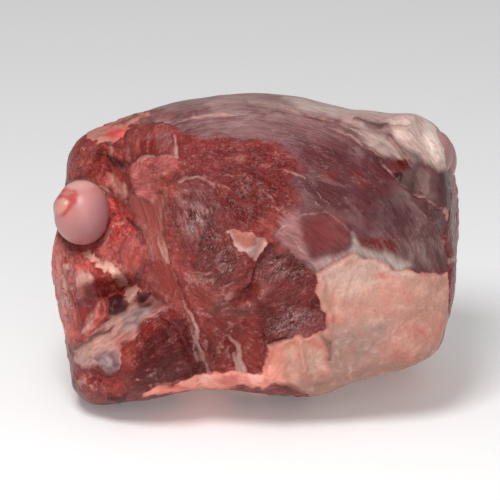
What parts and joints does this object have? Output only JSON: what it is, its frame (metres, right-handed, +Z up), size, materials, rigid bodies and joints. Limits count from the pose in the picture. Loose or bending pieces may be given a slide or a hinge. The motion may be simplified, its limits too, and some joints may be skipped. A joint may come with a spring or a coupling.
{
  "type": "raw leg of lamb",
  "caption": "Raw leg of lamb with the thigh bone in and the shank off, muscles and ball joint bare on the cut inner side, silverskin and fat cap over the rest.",
  "frame": {"origin": "centre of the footprint's bounding box, on the plane the leg rests on", "axes": "+X from the hip end to the knee end, -Y out of the cut inner side, +Z up"},
  "size_m": [0.2053, 0.1344, 0.155],
  "materials": {
    "meat": "moist",
    "bone": "moist"
  },
  "bodies": {
    "root": {"meat": "meat", "femur": "bone"}
  },
  "joints": []
}
